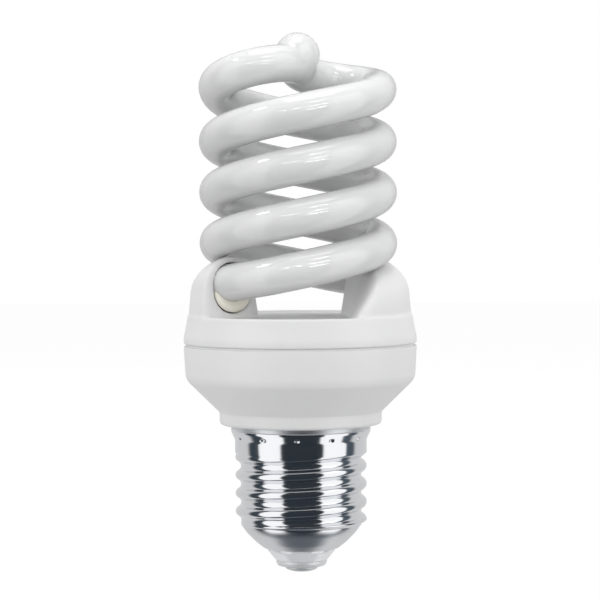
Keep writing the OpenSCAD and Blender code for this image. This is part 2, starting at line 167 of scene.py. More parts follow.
def mesh_object(name, points, faces, smooth=True):
    """A mesh object from points in millimetres."""
    mesh = bpy.data.meshes.new(name)
    mesh.from_pydata((np.asarray(points, float) * MM).tolist(), [], [tuple(f) for f in faces])
    mesh.validate()
    mesh.polygons.foreach_set("use_smooth", [smooth] * len(mesh.polygons))
    mesh.update()
    thing = bpy.data.objects.new(name, mesh)
    bpy.context.collection.objects.link(thing)
    return thing


def dress(thing, material, slot, *nodes):
    """Gives a piece its material and ties it to the frame in place of the nodes."""
    thing.data.materials.clear()
    thing.data.materials.append(material)
    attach(thing, "root")
    if nodes:
        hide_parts(*nodes)
    return thing


def rounded(corners, steps=6):
    """An open or closed outline whose corners (r, z, fillet) are rounded with arcs."""
    made = []
    count = len(corners)
    for i, (x, z, fillet) in enumerate(corners):
        here = np.array([x, z])
        if fillet <= 0:
            made.append(here)
            continue
        before = np.array(corners[i - 1][:2]) - here
        after = np.array(corners[(i + 1) % count][:2]) - here
        reach = min(np.linalg.norm(before), np.linalg.norm(after)) * 0.499
        before /= np.linalg.norm(before)
        after /= np.linalg.norm(after)
        half = math.acos(np.clip(before @ after, -1, 1)) / 2
        tangent = min(fillet / math.tan(half), reach)
        radius = tangent * math.tan(half)
        middle = before + after
        middle /= np.linalg.norm(middle)
        centre = here + middle * radius / math.sin(half)
        start = here + before * tangent - centre
        end = here + after * tangent - centre
        sweep = math.atan2(start[0] * end[1] - start[1] * end[0], start @ end)
        for k in range(steps + 1):
            a = sweep * k / steps
            turn = np.array([[math.cos(a), -math.sin(a)], [math.sin(a), math.cos(a)]])
            made.append(centre + turn @ start)
    return np.array(made)


def lathe(name, outline, columns=192):
    """Turns a closed outline of (r, z) about the axis; points on the axis become poles."""
    count = len(outline)
    points = []
    index = []
    for r, z in outline:
        if r < 1e-6:
            index.append([len(points)] * columns)
            points.append((0, 0, z))
            continue
        index.append([len(points) + k for k in range(columns)])
        for k in range(columns):
            a = TAU * k / columns
            points.append((r * math.cos(a), r * math.sin(a), z))
    faces = []
    for i in range(count):
        low, high = index[i], index[(i + 1) % count]
        for k in range(columns):
            n = (k + 1) % columns
            face = []
            for v in (low[k], low[n], high[n], high[k]):
                if v not in face:
                    face.append(v)
            if len(face) > 2:
                faces.append(face)
    return mesh_object(name, points, faces)


def surface_net(field, low, step):
    """Points and quads of a sampled field's zero surface, with one point in each crossed cell."""
    shape = np.array(field.shape) - 1
    total = np.zeros((*shape, 3))
    hits = np.zeros(shape, int)
    edges = []
    for axis in range(3):
        a = np.take(field, range(shape[axis]), axis)
        b = np.take(field, range(1, shape[axis] + 1), axis)
        cross = (a < 0) != (b < 0)
        part = np.where(cross, a / np.where(a == b, 1, a - b), 0)
        others = [k for k in range(3) if k != axis]
        for du in (0, 1):
            for dv in (0, 1):
                cut = [slice(None)] * 3
                cut[others[0]] = slice(du, shape[others[0]] + du)
                cut[others[1]] = slice(dv, shape[others[1]] + dv)
                met = cross[tuple(cut)]
                hits += met
                total[..., axis] += part[tuple(cut)]
                total[..., others[0]] += du * met
                total[..., others[1]] += dv * met
        edges.append((cross, a < 0, others))
    used = hits > 0
    number = np.full(shape, -1)
    number[used] = np.arange(used.sum())
    cells = np.argwhere(used)
    points = (cells + total[used] / hits[used][:, None]) * step + np.array(low)
    quads = []
    for axis, (cross, inside, others) in enumerate(edges):
        where = np.argwhere(cross)
        u, v = others
        keep = (where[:, u] > 0) & (where[:, v] > 0)
        keep &= (where[:, u] < shape[u]) & (where[:, v] < shape[v])
        where = where[keep]
        ring = []
        for du, dv in ((-1, -1), (0, -1), (0, 0), (-1, 0)):
            cell = where.copy()
            cell[:, u] += du
            cell[:, v] += dv
            ring.append(number[tuple(cell.T)])
        quad = np.stack(ring, 1)
        flip = inside[tuple(where.T)] == (axis == 1)
        quad[flip] = quad[flip][:, ::-1]
        quads.append(quad)
    return points, np.concatenate(quads)


def smooth(u):
    """Eases from 0 to 1, and stays there outside that range."""
    v = np.clip(u, 0, 1)
    return v * v * (3 - 2 * v)


def soft_max(a, b, k):
    """Larger of two fields, with the crease between them rounded."""
    h = np.maximum(k - np.abs(a - b), 0) / k
    return np.maximum(a, b) + h * h * k / 4


def soft_min(a, b, k):
    """Smaller of two fields, with the crease between them filled."""
    return -soft_max(-a, -b, k)


def outline_field(r, z, outline, step=0.05):
    """Signed distance from a closed (r, z) outline, read from a fine table."""
    low = np.array([-0.5, z.min() - 0.5])
    size = np.ceil((np.array([r.max() + 0.5, z.max() + 0.5]) - low) / step).astype(int) + 2
    gr = low[0] + np.arange(size[0])[:, None] * step
    gz = low[1] + np.arange(size[1])[None, :] * step
    best = np.full((size[0], size[1]), 1e9)
    inside = np.zeros((size[0], size[1]), bool)
    for p, q in zip(outline, np.roll(outline, -1, 0)):
        d = q - p
        t = np.clip(((gr - p[0]) * d[0] + (gz - p[1]) * d[1]) / max(d @ d, 1e-12), 0, 1)
        best = np.minimum(best, (gr - p[0] - t * d[0]) ** 2 + (gz - p[1] - t * d[1]) ** 2)
        if p[1] != q[1]:
            between = (p[1] > gz) != (q[1] > gz)
            inside ^= between & (gr < (q[0] - p[0]) * (gz - p[1]) / (q[1] - p[1]) + p[0])
    table = np.sqrt(best) * np.where(inside, -1, 1)
    fr = (r - low[0]) / step
    fz = (z - low[1]) / step
    ir, iz = fr.astype(int), fz.astype(int)
    fr, fz = fr - ir, fz - iz
    return ((table[ir, iz] * (1 - fr) + table[ir + 1, iz] * fr) * (1 - fz)
            + (table[ir, iz + 1] * (1 - fr) + table[ir + 1, iz + 1] * fr) * fz)


# Glass tube

def helix_z(a):
    """Height of a strand's centreline at a turn in degrees; its tail rises a little to the shoulder."""
    rise = TAIL_RISE * smooth((TAIL_TURN - a) / TAIL_SPAN)
    return LOBE_Z + HELIX_PITCH * (a - 360) / 360 + rise


def hermite(t, a, b, pull, slope):
    """Cubic from a to b that leaves with one slope and arrives with the other."""
    return ((2 * t ** 3 - 3 * t ** 2 + 1) * a + (t ** 3 - 2 * t ** 2 + t) * pull
            + (3 * t ** 2 - 2 * t ** 3) * b + (t ** 3 - t ** 2) * slope)


def strand(pull, slope):
    """Centreline of one strand, from inside its shoulder to the middle of the bridge."""
    coil_len = math.radians(TURN_TOP - TURN_START) * HELIX_R
    top_way = math.radians(900 - TURN_TOP) * HELIX_R
    top_len = top_way + math.pi * HELIX_R / 2
    points = []
    for s in np.arange(0, coil_len, RING_STEP):
        a = TURN_START + math.degrees(s / HELIX_R)
        t = math.radians(a)
        points.append((HELIX_R * math.cos(t), HELIX_R * math.sin(t), helix_z(a)))
    count = int(top_len / RING_STEP)
    for i in range(count):
        s = top_len * i / count
        z = hermite(s / top_len, helix_z(TURN_TOP), TOP_Z, pull, slope)
        if s < top_way:
            t = math.radians(TURN_TOP) + s / HELIX_R
            points.append((HELIX_R * math.cos(t), HELIX_R * math.sin(t), z))
        else:
            p = (s - top_way) / (HELIX_R / 2)
            points.append((-HELIX_R / 2 * (1 + math.cos(p)), -HELIX_R / 2 * math.sin(p), z))
    return np.array(points)


def centreline():
    """The whole tube: the front strand, the middle of the bridge, and the back strand turned round."""
    front = strand(FRONT_PULL, -BRIDGE_SLOPE)
    back = strand(BACK_PULL, BRIDGE_SLOPE)
    return np.concatenate([front, [[0, 0, TOP_Z]], back[::-1] * np.array([-1, -1, 1])])


def unit(v):
    """Vectors of length 1 along the last axis."""
    return v / np.linalg.norm(v, axis=-1, keepdims=True)


def tube_grid(path, radius, sides):
    """Rings of points round a path, with rounded tips, as an array of ring by side."""
    way = unit(np.gradient(path, axis=0))
    rings = []
    angle = TAU * np.arange(sides) / sides

    def ring(centre, direction, r):
        u = unit(np.cross([0, 0, 1], direction))
        v = np.cross(direction, u)
        return centre + r * (np.cos(angle)[:, None] * u + np.sin(angle)[:, None] * v)

    tips = np.radians(np.arange(10, 81, 10))
    for b in tips[::-1]:
        rings.append(ring(path[0] - way[0] * radius * math.sin(b), way[0], radius * math.cos(b)))
    for c, d in zip(path, way):
        rings.append(ring(c, d, radius))
    for b in tips:
        tip = path[-1] + way[-1] * radius * math.sin(b)
        rings.append(ring(tip, way[-1], radius * math.cos(b)))
    return np.array(rings), path[0] - way[0] * radius, path[-1] + way[-1] * radius


def knob_swell(points, path):
    """Moves the points near the top out on to the cold-spot knob, with a soft crease."""
    centre = np.array([0.0, KNOB_Y, KNOB_Z])
    near = np.linalg.norm(points - centre, axis=-1) < KNOB_R + 4
    top = path[np.linalg.norm(path - centre, axis=-1) < KNOB_R + 9]
    found = np.argwhere(near)
    for i, j in found:
        p = points[i, j].copy()
        axis_point = top[np.argmin(np.linalg.norm(top - p, axis=1))]
        out = unit(p - centre * 0.65 - axis_point * 0.35 + 1e-9)
        for _ in range(24):
            tube = np.min(np.linalg.norm(top - p, axis=1)) - TUBE_R
            ball = np.linalg.norm(p - centre) - KNOB_R
            both = float(soft_min(np.array(tube), np.array(ball), 0.7))
            if both > -0.002:
                break
            p -= out * both
        points[i, j] = p
    return points


def glass_spiral(material):
    """The bent tube with its knob."""
    path = centreline()
    grid, first, last = tube_grid(path, TUBE_R, TUBE_SIDES)
    grid = knob_swell(grid, path)
    rings, sides = grid.shape[:2]
    points = np.concatenate([grid.reshape(-1, 3), [first], [last]]) + np.array([COIL_X, 0, 0])
    faces = []
    for i in range(rings - 1):
        for k in range(sides):
            n = (k + 1) % sides
            faces.append((i * sides + k, i * sides + n, (i + 1) * sides + n, (i + 1) * sides + k))
    pole = rings * sides
    for k in range(sides):
        n = (k + 1) % sides
        faces.append((pole, n, k))
        faces.append((pole + 1, (rings - 1) * sides + k, (rings - 1) * sides + n))
    spiral = mesh_object("glass_spiral", points, faces)
    return dress(spiral, material, "phosphor_glass", "discharge_tube")


# Housing

def tube_frame():
    """Point and axes of the left tube end where it passes its shoulder's face."""
    t = math.radians(CEMENT_TURN)
    lean = math.atan(HELIX_PITCH / (TAU * HELIX_R))
    point = np.array([HELIX_R * math.cos(t), HELIX_R * math.sin(t), helix_z(CEMENT_TURN)])
    way = np.array([-math.sin(t) * math.cos(lean), math.cos(t) * math.cos(lean), math.sin(lean)])
    side = unit(np.cross(way, [0, 0, 1]))
    return point, way, side, np.cross(side, way)


def hole_field(x, y, z, radius, half_length):
    """Upright slot round the tube end, as deep as half_length each way."""
    point, way, side, up = tube_frame()
    dx, dy, dz = x - point[0], y - point[1], z - point[2]
    u = dx * side[0] + dy * side[1] + dz * side[2]
    v = dx * up[0] + dy * up[1] + dz * up[2]
    w = dx * way[0] + dy * way[1] + dz * way[2]
    v = v - np.clip(v, -HOLE_DROP, 0)
    return np.maximum(np.hypot(u + HOLE_SHIFT, v) - radius, np.abs(w) - half_length)


def side_field(x, y, z, place, inset, wind=0.0):
    """Leaning side of a shoulder, which leans more along its length by wind; negative inside."""
    px, py, turn, draft = place
    t, d = math.radians(turn), math.radians(draft)
    inward = np.array([-math.sin(t), math.cos(t)])
    along = (x - px) * math.cos(t) + (y - py) * math.sin(t)
    lean = math.tan(d) + wind * smooth((along - 4) / INNER_WIND)
    depth = (x - px) * inward[0] + (y - py) * inward[1] - (z - DECK_Z) * lean
    return (inset - depth) / np.sqrt(1 + lean ** 2)


def dome_field(x, y, z, inset):
    """Rounded top of a shoulder, tilted with the coil above it."""
    c, s = math.cos(SHOULDER_TILT), math.sin(SHOULDER_TILT)
    dz = z - DOME_ZC
    yy = y * c - dz * s
    zz = y * s + dz * c
    r = np.hypot(x, yy)
    a = DOME_A - inset
    b = SHOULDER_TOP_Z - DOME_ZC - inset
    over = np.maximum(r - DOME_RC, 0) / a
    high = np.maximum(zz, 0) / b
    size = np.hypot(over, high)
    slope = np.hypot(over / a, high / b) / np.maximum(size, 1e-6)
    cap = (size - 1) / np.maximum(slope, 1e-3)
    flat = zz - b
    wall = r - DOME_RC - a
    return np.where((r > DOME_RC) & (zz > 0), cap, np.where(zz > 0, flat, wall - 0.21 * -zz))


def shoulder_field(x, y, z, inset):
    """Left shoulder, negative inside; a positive inset gives its hollow."""
    wall_r = BODY_R - 0.95 - inset - np.maximum(z - DECK_Z, 0) * 0.03
    wall = np.hypot(x, y) - wall_r
    body = soft_max(dome_field(x, y, z, inset), wall, 1.0)
    entry = side_field(x, y, z, ENTRY, inset)
    inner = side_field(x, y, z, INNER, inset, INNER_LEAN)
    return soft_max(body, soft_max(entry, inner, 1.8), 1.6 if inset == 0 else 0.6)


def upper_cover(material):
    """Skirt, deck and two hollow shoulders with a hole for each tube end."""
    step = HOUSING_GRID
    low = np.array([-COVER_REACH, -COVER_REACH, PARTING_Z - 1.0])
    count = (np.array([2 * COVER_REACH, 2 * COVER_REACH, COVER_HEIGHT]) / step).astype(int)
    axes = [low[k] + np.arange(count[k]) * step for k in range(3)]
    x, y, z = np.meshgrid(*axes, indexing="ij")
    r = np.hypot(x, y)
    skirt = rounded([
        (BODY_R - WALL - 0.3, PARTING_Z, 0), (BODY_R, PARTING_Z, 0.15),
        (BODY_R, PARTING_Z + 1.3, 3), (BODY_R - 0.6, PARTING_Z + 4.2, 8),
        (BODY_R - 0.85, DECK_RIM_Z - 0.2, 0), (BODY_R - 1.0, DECK_RIM_Z, 0.25),
        (BODY_R - 2.0, DECK_RIM_Z, 0.2), (BODY_R - 2.1, DECK_Z, 0.15), (-0.4, DECK_Z, 0),
        (-0.4, DECK_Z - WALL, 0), (BODY_R - WALL - 1.4, DECK_Z - WALL, 0.5)])
    body = outline_field(r, z, skirt)
    for s in (1, -1):
        shoulder = soft_max(shoulder_field(s * x, s * y, z, 0), DECK_Z - WALL - z, 0.2)
        body = soft_min(body, shoulder, 0.5)
    for s in (1, -1):
        inner = shoulder_field(s * x, s * y, z, WALL)
        body = soft_max(body, -inner, 0.2)
        body = soft_max(body, -hole_field(s * x, s * y, z, HOLE_R, 4.0), 0.35)
    points, quads = surface_net(body, low, step)
    cover = mesh_object("upper_cover", points, quads)
    return dress(cover, material, "housing_plastic", "upper_housing")


def lower_bowl(material):
    """Bowl, cone, collar and neck, turned about the axis."""
    neck = BAND_R - SHEET - 0.1
    rim = RIM_R - SHEET - 0.1
    outline = rounded([
        (BODY_R - 0.5, PARTING_Z - 0.02, 0.1), (BODY_R - 0.5, PARTING_Z - 0.42, 0.05),
        (BODY_R, PARTING_Z - 0.46, 0.12), (BODY_R - 0.15, 42.0, 6), (BODY_R - 0.35, 38.6, 3.2),
        (COLLAR_R + 0.1, 32.1, 0.35), (COLLAR_R, 31.6, 0.3), (COLLAR_R, 29.5, 0.8),
        (RIM_R - 0.12, 29.5, 0.05), (RIM_R - 0.12, 28.65, 0.05), (rim, 28.65, 0.02),
        (rim, 28.2, 0.3), (neck, 26.4, 0.5), (neck, 24.2, 0.2),
        (neck - WALL, 24.2, 0.2), (neck - WALL, 31.2, 1), (COLLAR_R - WALL + 0.4, 32.4, 1),
        (BODY_R - WALL - 1.4, 37.5, 2), (BODY_R - WALL, 40.2, 1),
        (BODY_R - WALL, PARTING_Z - 0.02, 0)], steps=8)
    bowl = lathe("lower_bowl", outline[::-1], 256)
    return dress(bowl, material, "housing_plastic", "lower_housing")


def entry_cement(name, sign, material):
    """Cement round a tube end, swelling a little out of its hole."""
    point, way, side, up = tube_frame()
    step = CEMENT_GRID
    low = point - CEMENT_REACH
    count = int(2 * CEMENT_REACH / step)
    axes = [low[k] + np.arange(count) * step for k in range(3)]
    x, y, z = np.meshgrid(*axes, indexing="ij")
    dx, dy, dz = x - point[0], y - point[1], z - point[2]
    u = dx * side[0] + dy * side[1] + dz * side[2]
    v = dx * up[0] + dy * up[1] + dz * up[2]
    w = dx * way[0] + dy * way[1] + dz * way[2]
    slot = np.hypot(u + HOLE_SHIFT, v - np.clip(v, -HOLE_DROP, 0)) - (HOLE_R - 0.05)
    bore = TUBE_R - 0.05 - np.hypot(u, v)
    ends = np.abs(w + 0.1) - 1.2
    field = soft_max(soft_max(slot, ends, 1.6), bore, 0.2)
    points, quads = surface_net(field, low, step)
    points[:, :2] *= sign
    return dress(mesh_object(name, points, quads), material, "cement",
                 "tube_cement_left" if sign > 0 else "tube_cement_right")


# Screw cap

def thread_r(z, a):
    """Radius of the rolled thread, whose crests and roots are equal arcs."""
    turn = (z - CREST_Z) / THREAD_PITCH - a / TAU
    off = np.abs(turn - np.round(turn)) * THREAD_PITCH
    flank = 2 * math.atan(2 * THREAD_DEPTH / THREAD_PITCH)
    arc = THREAD_PITCH / 4 / math.sin(flank)
    side = np.minimum(off, THREAD_PITCH / 2 - off)
    drop = (arc - np.sqrt(arc ** 2 - side ** 2)) / THREAD_DEPTH
    wave = np.where(off < THREAD_PITCH / 4, 1 - drop, drop)
    low = wave * smooth((z - 9.4) / 0.9)
    return CREST_R - THREAD_DEPTH + THREAD_DEPTH * np.maximum(low, smooth((z - 22.7) / 1.2))


def cap_rows():
    """Radius and height of each row of the sheet's outside below and above the thread."""
    lip = rounded([(7.1, 5.2, 0), (7.15, 4.72, 0.2), (7.55, 4.7, 0.2), (9.1, 5.9, 6),
                   (10.9, 7.75, 6), (12.05, 9.3, 0)], steps=5)
    high = rounded([(BAND_R, 24.0, 0), (BAND_R, 26.45, 1.2), (RIM_R - 0.05, 28.05, 0.8),
                    (RIM_R, 28.42, 0.12), (RIM_R - 0.1, 28.62, 0.05), (RIM_R - 0.06, 28.75, 0.1),
                    (RIM_R - 0.06, 29.4, 0.08), (RIM_R - SHEET, 29.45, 0)], steps=6)
    return lip, high


def cap_sheet(material):
    """Rolled sheet with its outside and inside, and a ring of dimples under its rim."""
    lip, high = cap_rows()
    thread_z = np.arange(9.4, 23.95, 0.13)
    dimple_z = np.arange(DIMPLE_Z - 0.7, DIMPLE_Z + 0.71, 0.1)
    a = TAU * np.arange(CAP_COLUMNS) / CAP_COLUMNS
    rows = [np.array([np.full(CAP_COLUMNS, r), np.full(CAP_COLUMNS, z)]) for r, z in lip]
    for z in thread_z:
        rows.append(np.array([thread_r(z, a), np.full(CAP_COLUMNS, z)]))
    climb = high[high[:, 1] < 28.5]
    heights = sorted(set(np.round(climb[:, 1], 4)) | set(np.round(dimple_z, 4)))
    for z in heights:
        r = np.interp(z, climb[:, 1], climb[:, 0])
        turn = (a - math.radians(DIMPLE_TURN - 90)) * DIMPLES / TAU
        across = (turn - np.round(turn)) * TAU / DIMPLES * r
        away = np.hypot(across, z - DIMPLE_Z) / DIMPLE_R
        dip = DIMPLE_DEPTH * np.clip(1 - away ** 2, 0, 1) ** 1.2
        rows.append(np.array([r - dip, np.full(CAP_COLUMNS, z)]))
    for r, z in high[high[:, 1] >= 28.5]:
        rows.append(np.array([np.full(CAP_COLUMNS, r), np.full(CAP_COLUMNS, z)]))
    outer = np.array(rows)
    thread = len(lip) + np.arange(len(thread_z))
    spare = thread[np.arange(len(thread)) % INNER_STEP != 0]
    inner = np.delete(outer, spare, axis=0)[::-1].copy()
    inner[:, 0] -= SHEET
    inner[-len(lip):, 0] += SHEET * 0.35
    inner[-len(lip):, 1] += SHEET * 0.6
    loop = np.concatenate([outer, inner])
    points = np.stack([loop[:, 0] * np.cos(a), loop[:, 0] * np.sin(a), loop[:, 1]], -1)
    faces = []
    for i in range(len(loop)):
        here = i * CAP_COLUMNS
        above = (i + 1) % len(loop) * CAP_COLUMNS
        for k in range(CAP_COLUMNS):
            n = (k + 1) % CAP_COLUMNS
            faces.append((here + k, here + n, above + n, above + k))
    sheet = mesh_object("cap_sheet", points.reshape(-1, 3), faces)
    return dress(sheet, material, "cap_metal", "screw_cap_shell")


def insulator_cone(material):
    """Pale cone that closes the cap."""
    outline = rounded([(2.0, 2.3, 0), (5.25, 2.3, 0.15), (6.75, 4.1, 1.2), (6.95, 4.9, 0.3),
                       (7.0, 5.3, 0), (9.2, 7.2, 0.3), (9.2, 8.4, 0.2), (2.0, 8.4, 0)])
    return dress(lathe("insulator_cone", outline, 144), material, "insulator", "cap_insulator")


def contact_disc(material):
    """Pressed disc at the tip, with its stem."""
    outline = rounded([(0.8, 0.9, 0), (3.9, 0.9, 0.6), (4.75, 1.1, 0.5), (5.1, 1.7, 0.4),
                       (5.1, 2.3, 0.2), (1.9, 2.3, 0), (1.9, 9.0, 0), (0.8, 9.0, 0)])
    return dress(lathe("contact_disc", outline, 144), material, "contact_metal", "centre_contact")


def solder_tip(material):
    """Drop of solder under the disc."""
    outline = rounded([(0, 0.0, 0), (2.1, 0.0, 0.8), (3.1, 0.35, 0.6), (3.4, 0.9, 0),
                       (0, 0.9, 0)])
    return dress(lathe("solder_tip", outline, 96), material, "solder", "contact_solder")


# Materials

def principled(name, color, roughness, metallic=0.0, **more):
    """A node material with its Principled shader set, and its node tree."""
    material = bpy.data.materials.new(name)
    material.use_nodes = True
    nodes = material.node_tree.nodes
    shader = nodes["Principled BSDF"]
    shader.inputs["Base Color"].default_value = (*color, 1)
    shader.inputs["Roughness"].default_value = roughness
    shader.inputs["Metallic"].default_value = metallic
    for key, value in more.items():
        shader.inputs[key.replace("_", " ")].default_value = value
    return material, nodes, material.node_tree.links, shader


def noise(nodes, links, scale, detail=3.0, stretch=(1, 1, 1)):
    """Noise in the object's own metres; scale is in grains per metre."""
    place = nodes.new("ShaderNodeTexCoord")
    mapping = nodes.new("ShaderNodeMapping")
    mapping.inputs["Scale"].default_value = stretch
    texture = nodes.new("ShaderNodeTexNoise")
    texture.inputs["Scale"].default_value = scale
    texture.inputs["Detail"].default_value = detail
    links.new(place.outputs["Object"], mapping.inputs["Vector"])
    links.new(mapping.outputs["Vector"], texture.inputs["Vector"])
    return texture


def tint(nodes, links, source, shader, dark, light, low=0.35, high=0.65):
    """Drives the base colour between two colours by a texture."""
    ramp = nodes.new("ShaderNodeValToRGB")
    ramp.color_ramp.elements[0].position = low
    ramp.color_ramp.elements[0].color = (*dark, 1)
    ramp.color_ramp.elements[1].position = high
    ramp.color_ramp.elements[1].color = (*light, 1)
    links.new(source, ramp.inputs["Fac"])
    links.new(ramp.outputs["Color"], shader.inputs["Base Color"])
    return ramp


def relief(nodes, links, source, shader, depth_mm, strength=1.0):
    """Bump from a texture, as deep as depth_mm."""
    bump = nodes.new("ShaderNodeBump")
    bump.inputs["Distance"].default_value = depth_mm * MM
    bump.inputs["Strength"].default_value = strength
    links.new(source, bump.inputs["Height"])
    links.new(bump.outputs["Normal"], shader.inputs["Normal"])


def varied(name, color, spread, roughness, grain, depth_mm=0.0, metallic=0.0, **more):
    """A material whose colour drifts a little and whose surface has a fine grain."""
    material, nodes, links, shader = principled(name, color, roughness, metallic, **more)
    drift = noise(nodes, links, grain, 4.0)
    dark = tuple(max(c - spread, 0) for c in color)
    light = tuple(min(c + spread, 1) for c in color)
    tint(nodes, links, drift.outputs["Fac"], shader, dark, light)
    if depth_mm:
        fine = noise(nodes, links, grain * 6, 2.0)
        relief(nodes, links, fine.outputs["Fac"], shader, depth_mm)
    return material


def phosphor_glass():
    """White phosphor under clear glass: a bright body, with painted shade that greys the base colour
    where the wall is seen edge on.
    """
    material, nodes, links, shader = principled(
        "phosphor_glass", (0.60, 0.60, 0.60), 0.6, Coat_Weight=1.0, Coat_Roughness=0.08,
        Coat_IOR=1.6, Subsurface_Weight=0.6, Subsurface_Scale=0.006, Subsurface_Radius=(1, 1, 1))
    cloud = noise(nodes, links, 60, 4.0)
    body = tint(nodes, links, cloud.outputs["Fac"], shader,
                (0.59, 0.593, 0.593), (0.62, 0.623, 0.623))
    # Painted shade: where the wall is seen edge on, the base colour is mixed towards dark grey, which
    # draws dark outlines round the tube.
    edge = nodes.new("ShaderNodeLayerWeight")
    edge.inputs["Blend"].default_value = 0.5
    painted_edge_shade = nodes.new("ShaderNodeValToRGB")
    painted_edge_shade.color_ramp.elements[0].position = 0.66
    painted_edge_shade.color_ramp.elements[0].color = (0, 0, 0, 1)
    painted_edge_shade.color_ramp.elements[1].position = 0.97
    painted_edge_shade.color_ramp.elements[1].color = (1, 1, 1, 1)
    links.new(edge.outputs["Facing"], painted_edge_shade.inputs["Fac"])
    mix = nodes.new("ShaderNodeMix")
    mix.data_type = "RGBA"
    mix.inputs["B"].default_value = (0.36, 0.365, 0.37, 1)
    links.new(painted_edge_shade.outputs["Color"], mix.inputs["Factor"])
    links.new(body.outputs["Color"], mix.inputs["A"])
    links.new(mix.outputs["Result"], shader.inputs["Base Color"])
    return material


def housing_plastic():
    """White plastic with a faint drift of tone and a fine grain."""
    material, nodes, links, shader = principled("housing_plastic", (0.80, 0.80, 0.80), 0.42)
    cloud = noise(nodes, links, 45, 3.0)
    tint(nodes, links, cloud.outputs["Fac"], shader, (0.785, 0.785, 0.785), (0.81, 0.81, 0.81))
    grain = noise(nodes, links, 2600, 2.0)
    relief(nodes, links, grain.outputs["Fac"], shader, 0.012, 0.6)
    return material


def cap_metal():
    """Rolled sheet, bright on the thread and band, and satin on the cone below and the lip above."""
    material, nodes, links, shader = principled("cap_metal", (0.80, 0.81, 0.83), 0.08, 1.0)
    place = nodes.new("ShaderNodeTexCoord")
    split = nodes.new("ShaderNodeSeparateXYZ")
    links.new(place.outputs["Object"], split.inputs["Vector"])
    height = nodes.new("ShaderNodeMapRange")
    height.inputs["From Min"].default_value = 8.9 * MM
    height.inputs["From Max"].default_value = 9.6 * MM
    height.inputs["To Min"].default_value = 0.27
    height.inputs["To Max"].default_value = 0.09
    links.new(split.outputs["Z"], height.inputs["Value"])
    streak = noise(nodes, links, 300, 4.0, (1, 1, 6))
    smear = nodes.new("ShaderNodeMath")
    smear.operation = "MULTIPLY_ADD"
    smear.inputs[1].default_value = 0.05
    links.new(streak.outputs["Fac"], smear.inputs[0])
    lip = nodes.new("ShaderNodeMapRange")
    lip.inputs["From Min"].default_value = 28.5 * MM
    lip.inputs["From Max"].default_value = 28.7 * MM
    lip.inputs["To Max"].default_value = 0.3
    links.new(split.outputs["Z"], lip.inputs["Value"])
    dull = math_node(nodes, links, "ADD", height.outputs["Result"], lip.outputs["Result"])
    links.new(dull, smear.inputs[2])
    links.new(smear.outputs["Value"], shader.inputs["Roughness"])
    return material


MATERIALS = {
    "cement": varied("cement", (0.90, 0.865, 0.765), 0.03, 0.7, 500, 0.05),
    "insulator": varied("insulator", (0.85, 0.87, 0.89), 0.02, 0.22, 120, Coat_Weight=1.0,
                        Coat_IOR=2.2, Coat_Roughness=0.08),
    "contact_metal": varied("contact_metal", (0.84, 0.85, 0.86), 0.02, 0.5, 300, 0.006, 0.5),
    "solder": varied("solder", (0.78, 0.79, 0.80), 0.03, 0.45, 250, 0.02, 0.6),
    "board": varied("board", (0.26, 0.33, 0.13), 0.03, 0.45, 200, 0.004),
    "capacitor_sleeve": varied("capacitor_sleeve", (0.03, 0.03, 0.035), 0.008, 0.25, 150, 0.003),
    "ferrite": varied("ferrite", (0.07, 0.07, 0.075), 0.015, 0.6, 700, 0.02),
    "bobbin": varied("bobbin", (0.72, 0.70, 0.55), 0.02, 0.45, 300, 0.005),
    "copper_wire": varied("copper_wire", (0.62, 0.25, 0.10), 0.06, 0.3, 900, 0.01, 0.9),
    "black_epoxy": varied("black_epoxy", (0.03, 0.03, 0.03), 0.008, 0.55, 600, 0.01),
    "red_epoxy": varied("red_epoxy", (0.42, 0.09, 0.04), 0.03, 0.25, 200, 0.02),
    "resistor_body": varied("resistor_body", (0.60, 0.44, 0.25), 0.03, 0.4, 400, 0.01),
    "diac_glass": varied("diac_glass", (0.07, 0.18, 0.40), 0.03, 0.12, 300, 0.0),
    "fuse_body": varied("fuse_body", (0.14, 0.33, 0.20), 0.03, 0.55, 500, 0.01),
    "tinned_wire": varied("tinned_wire", (0.72, 0.72, 0.74), 0.05, 0.25, 500, 0.004, 1.0),
    "live_sleeve": varied("live_sleeve", (0.45, 0.04, 0.03), 0.02, 0.4, 300, 0.004),
    "neutral_sleeve": varied("neutral_sleeve", (0.03, 0.03, 0.03), 0.01, 0.4, 300, 0.004),
}


def dress_inner_parts():
    """Every solid inside the housing keeps its shape and gets its own material."""
    slots = {row["node"]: row["material_slot"] for row in frame["record"]["subparts"]}
    for name, thing in frame["nodes"].items():
        if slots[name] in MATERIALS:
            thing.data.materials.clear()
            thing.data.materials.append(MATERIALS[slots[name]])


# Studio

def area_light(name, azimuth, elevation, distance, size, radiance):
    """A rectangular lamp that faces the bulb.

    Azimuth 0 is the camera's side, and it is positive to the camera's right.
    """
    lamp = bpy.data.lights.new(name, "AREA")
    lamp.shape = "RECTANGLE"
    lamp.size, lamp.size_y = size[0] * MM, size[1] * MM
    lamp.energy = 4 * radiance * lamp.size * lamp.size_y
    thing = bpy.data.objects.new(name, lamp)
    bpy.context.collection.objects.link(thing)
    a, e = math.radians(azimuth), math.radians(elevation)
    way = np.array([math.sin(a) * math.cos(e), -math.cos(a) * math.cos(e), math.sin(e)])
    thing.location = Vector(way * distance * MM) + Vector((0, 0, LAMP_AIM_Z * MM))
    thing.rotation_mode = "QUATERNION"
    thing.rotation_quaternion = Vector(way).to_track_quat("Z", "Y")
    thing.visible_camera = False
    return thing


def math_node(nodes, links, kind, *values):
    """A math node whose inputs are numbers or other nodes' outputs."""
    node = nodes.new("ShaderNodeMath")
    node.operation = kind
    for socket, value in zip(node.inputs, values):
        if isinstance(value, (int, float)):
            socket.default_value = value
        else:
            links.new(value, socket)
    return node.outputs[0]


